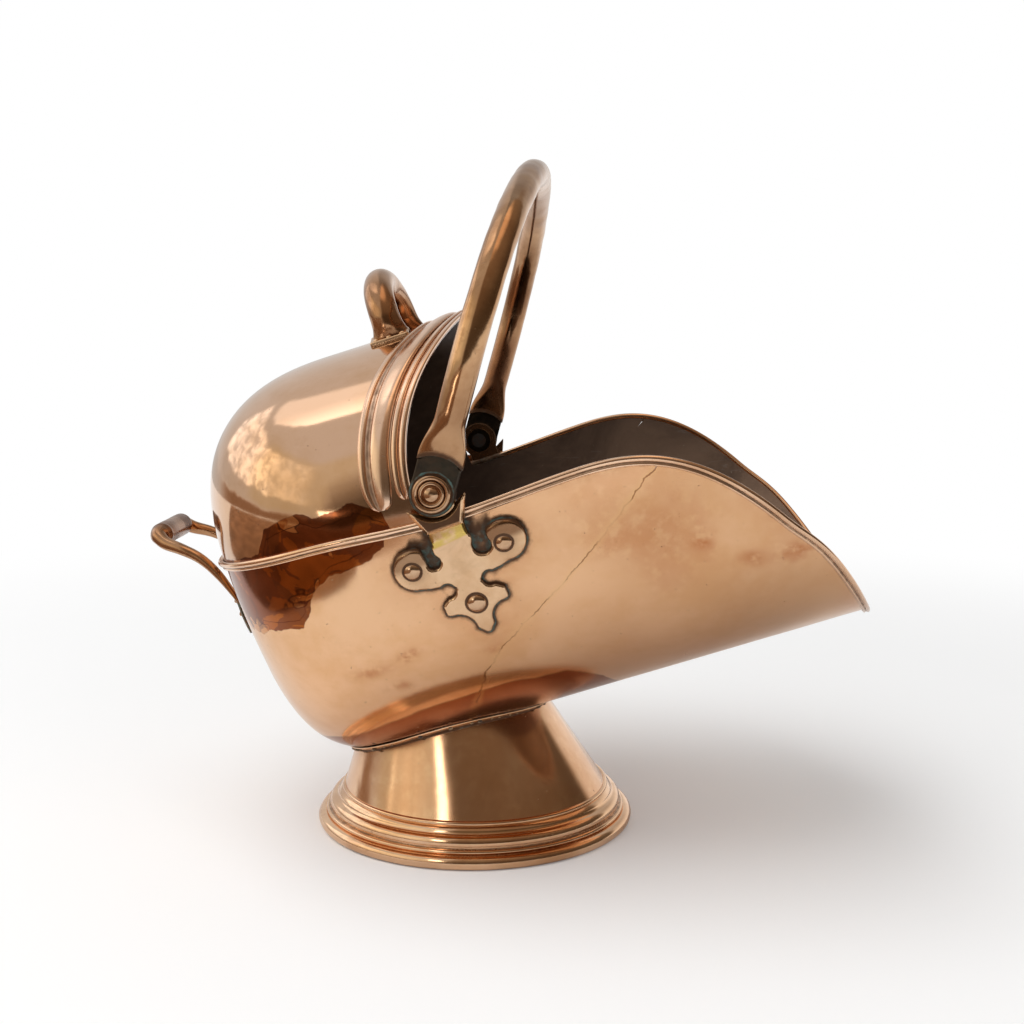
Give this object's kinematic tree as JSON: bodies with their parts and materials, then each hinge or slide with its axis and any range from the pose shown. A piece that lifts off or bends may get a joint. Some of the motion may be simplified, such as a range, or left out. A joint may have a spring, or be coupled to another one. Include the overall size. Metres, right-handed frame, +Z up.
{
  "type": "coal scuttle",
  "caption": "Helmet coal scuttle in sheet copper: tilted scoop with a half hood, round moulded foot, swinging bail on riveted brackets, hood handle and back handle.",
  "frame": {"origin": "centre of the foot, on the floor", "axes": "+X towards the pouring lip, +Y across the body along the bail's pivots, +Z up"},
  "size_m": [0.4498, 0.3494, 0.4171],
  "materials": {
    "bright_copper": "polished copper with fine scratches and red-brown stains",
    "toned_copper": "polished copper with a brown tone",
    "brown_copper": "copper rubbed bright over a brown tone",
    "dark_copper": "dull, dark copper",
    "pale_brass": "cast copper alloy, worn smooth",
    "rivet_brass": "polished heads with dark green rings",
    "iron": "drawn iron, dull"
  },
  "bodies": {
    "body": {"scoop_sheet": "bright_copper", "back_pan": "bright_copper", "rim_moulding": "bright_copper", "rim_wire": "iron", "hood_shell": "toned_copper", "hood_cushion": "toned_copper", "hood_edge_bead": "toned_copper", "foot_cone": "toned_copper", "foot_base": "toned_copper", "foot_wire": "iron", "bracket_left": "pale_brass", "bracket_right": "pale_brass", "bracket_rivets_left": "rivet_brass", "bracket_rivets_right": "rivet_brass", "pivot_pin_left": "iron", "pivot_pin_right": "iron", "rosette_left": "rivet_brass", "rosette_right": "rivet_brass", "inner_washer_left": "dark_copper", "inner_washer_right": "dark_copper", "hood_handle": "brown_copper", "hood_handle_rivets": "rivet_brass", "back_handle": "brown_copper", "back_handle_rivets": "rivet_brass"},
    "bail": {"bail_tube": "brown_copper", "bail_tongue_left": "dark_copper", "bail_tongue_right": "dark_copper"}
  },
  "joints": [
    {"name": "bail_pivot", "type": "hinge", "parent": "body", "child": "bail", "pos_m": [-0.009, 0, 0.231], "axis": [0, 1, 0], "range_deg": [-94.7, 25.3]}
  ]
}
